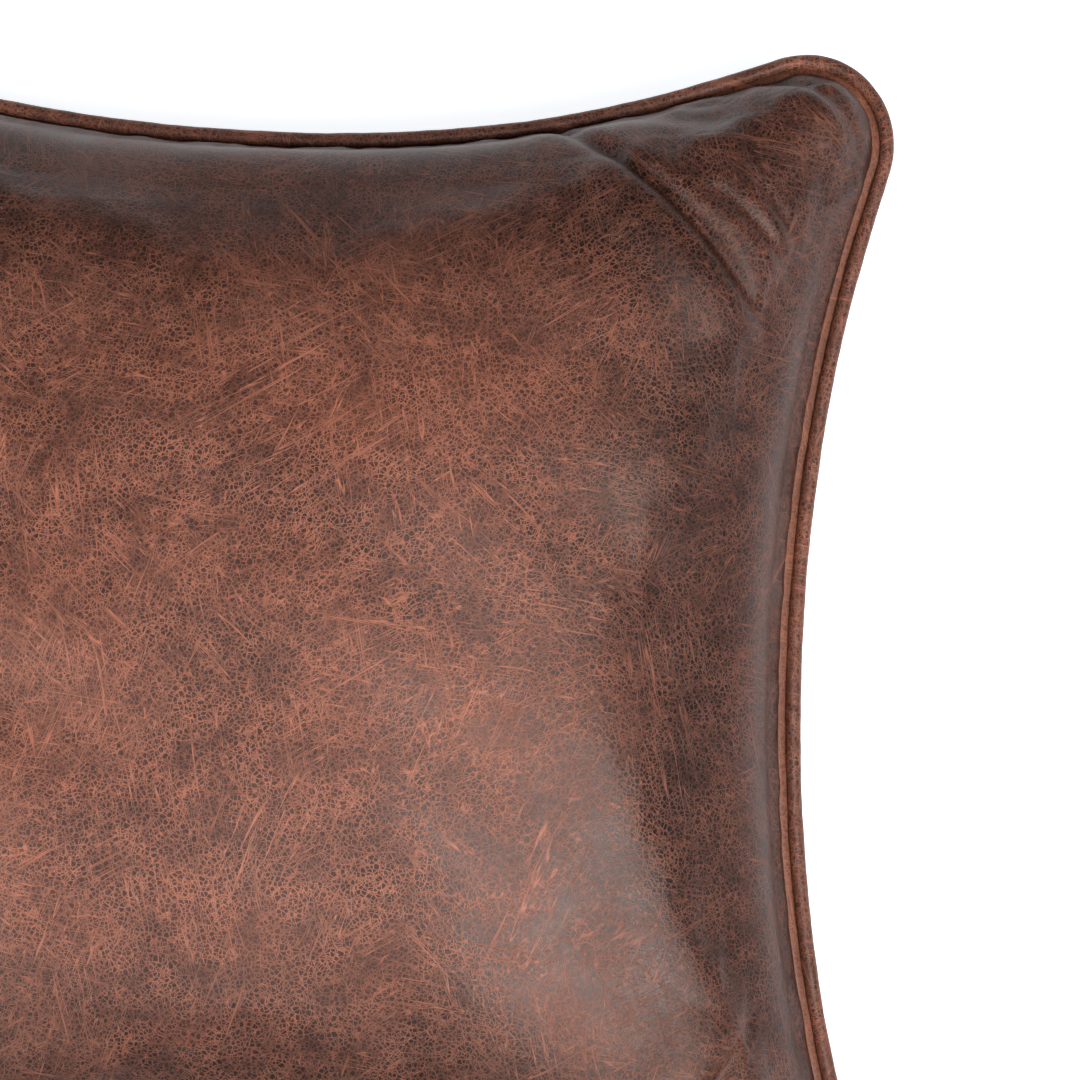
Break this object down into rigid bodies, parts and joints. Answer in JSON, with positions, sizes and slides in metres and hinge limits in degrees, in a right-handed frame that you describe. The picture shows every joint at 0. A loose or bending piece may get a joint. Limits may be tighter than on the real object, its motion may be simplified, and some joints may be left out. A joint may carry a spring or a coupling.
{
  "type": "throw pillow",
  "caption": "Square piped throw pillow in distressed dark brown leather, with a concealed-side zip and a filled insert.",
  "frame": {"origin": "on the resting surface, under the centre of the pillow's bounding box", "axes": "+Z the way the front faces as the pillow lies on its back, +Y its top edge, zip along the -Y edge"},
  "size_m": [0.5078, 0.5078, 0.1636],
  "materials": {
    "leather": "satin",
    "cord": "matte",
    "thread": "matte",
    "zip_tape": "matte",
    "zip_coil": "satin",
    "zip_metal": "satin",
    "case_fabric": "matte",
    "filling": "matte"
  },
  "bodies": {
    "pillow": {"front_panel": "leather", "back_panel": "leather", "welt_cover": "leather", "welt_cord": "cord", "seam_stitching": "thread", "zip_tape_front": "zip_tape", "zip_tape_back": "zip_tape", "zip_coil_front": "zip_coil", "zip_coil_back": "zip_coil", "zip_top_stops": "zip_metal", "zip_bottom_stop": "zip_metal", "zip_topstitching": "thread", "insert_case_front": "case_fabric", "insert_case_back": "case_fabric", "insert_seam_stitching": "thread", "insert_fill": "filling"},
    "slider": {"zip_slider": "zip_metal"},
    "pull": {"zip_pull_tab": "zip_metal"}
  },
  "joints": [
    {"name": "zip_travel", "type": "hinge", "parent": "pillow", "child": "slider", "pos_m": [0, -0.80914, 0.069], "axis": [0, 0, 1], "range_deg": [0, 26.3]},
    {"name": "pull_swing", "type": "hinge", "parent": "slider", "child": "pull", "pos_m": [0.13636, -0.22685, 0.069], "axis": [0, 0, 1], "range_deg": [0, 165]}
  ]
}
